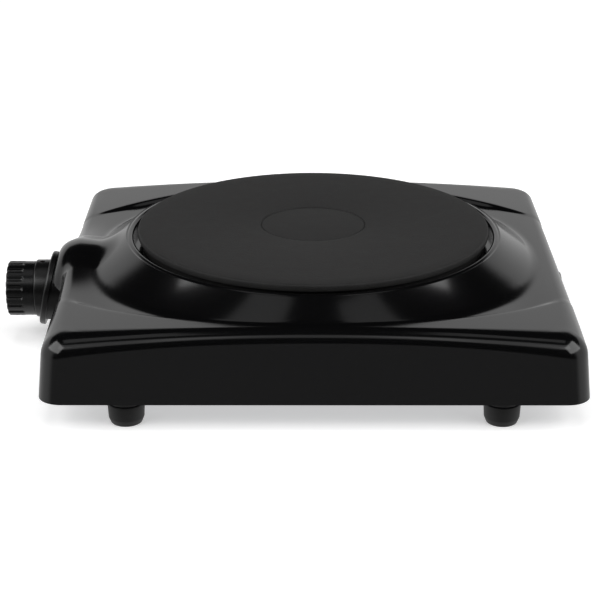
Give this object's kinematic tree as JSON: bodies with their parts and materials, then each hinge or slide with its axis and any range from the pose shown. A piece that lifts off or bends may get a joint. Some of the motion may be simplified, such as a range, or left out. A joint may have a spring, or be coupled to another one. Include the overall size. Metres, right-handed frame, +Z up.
{
  "type": "electric hot plate",
  "caption": "Portable electric hot plate: bowed black steel housing with raised side wings, sealed round cast iron plate in a collar, fluted side knob with leaning bezel, rubber feet.",
  "frame": {"origin": "on the floor plane, under the middle of the whole appliance, knob included", "axes": "+Z up; the control knob faces -Y, the cord gland +Y; X runs across the appliance from wing to wing"},
  "size_m": [0.246, 0.2966, 0.063],
  "materials": {
    "enamel": "smooth semi-gloss black enamel",
    "iron": "matt black heat-proof coating",
    "rubber": "matt black moulded rubber",
    "knob_plastic": "satin black moulded plastic",
    "bezel_plastic": "fine satin black moulded plastic",
    "lens_plastic": "smoked black lens",
    "galvanised": "galvanised sheet",
    "zinc": "zinc plated fastener",
    "brass": "machined brass",
    "steatite": "unglazed steatite",
    "cement": "grey insulating cement",
    "heater_tube": "oxidised heating tube",
    "spring_steel": "spring strip",
    "lamp_glass": "small neon lamp",
    "sleeve": "glass-fibre sleeved lead"
  },
  "bodies": {
    "appliance": {"base_plate": "galvanised", "bimetal_strip": "spring_steel", "block_screw": "zinc", "bracket_screws": "zinc", "bush_nut": "brass", "centre_stud": "zinc", "clamp_bridge": "galvanised", "control_bezel": "bezel_plastic", "control_block": "steatite", "control_bracket": "galvanised", "control_bush": "brass", "cord_gland": "rubber", "corner_brackets": "galvanised", "cover_disc": "galvanised", "cutout_blades": "brass", "cutout_screws": "zinc", "earth_screw": "zinc", "earth_tag": "brass", "fixed_contact": "brass", "foot_left_front": "rubber", "foot_left_rear": "rubber", "foot_right_front": "rubber", "foot_right_rear": "rubber", "foot_screws": "zinc", "heat_shield": "galvanised", "heater_pins": "heater_tube", "heater_terminal_block": "steatite", "heating_coil_inner": "heater_tube", "heating_coil_outer": "heater_tube", "hotplate": "iron", "housing_shell": "enamel", "insulating_cement": "cement", "lead_heater": "sleeve", "lead_line": "sleeve", "lead_neutral": "sleeve", "lead_switched": "sleeve", "leaf_root": "spring_steel", "mains_terminal_block": "steatite", "pilot_lamp": "lamp_glass", "pilot_lens": "lens_plastic", "stack_rivet": "zinc", "stack_spacers": "steatite", "stud_nut": "zinc", "stud_washer": "zinc", "terminal_links": "spring_steel", "terminal_sleeves": "brass", "thermal_cutout": "bezel_plastic"},
    "control": {"knob": "knob_plastic", "knob_clip": "spring_steel", "control_shaft": "zinc"},
    "pin": {"setting_pin": "steatite"},
    "leaf": {"contact_leaf": "spring_steel"}
  },
  "joints": [
    {"name": "knob_turn", "type": "hinge", "parent": "appliance", "child": "control", "pos_m": [0, -0.1343, 0.0265], "axis": [0, 1, 0], "range_deg": [0, 270]},
    {"name": "pin_slide", "type": "slide", "parent": "appliance", "child": "pin", "axis": [0, 1, 0], "range_m": [0, 0.00038]},
    {"name": "leaf_flex", "type": "hinge", "parent": "appliance", "child": "leaf", "pos_m": [0, -0.0881, 0.0226], "axis": [-1, 0, 0], "range_deg": [0, 5.59]}
  ],
  "couplings": [
    {"joint": "pin_slide", "follows": "knob_turn", "m_per_rad": 0.000079577},
    {"joint": "leaf_flex", "follows": "knob_turn", "ratio": 0.020342}
  ]
}
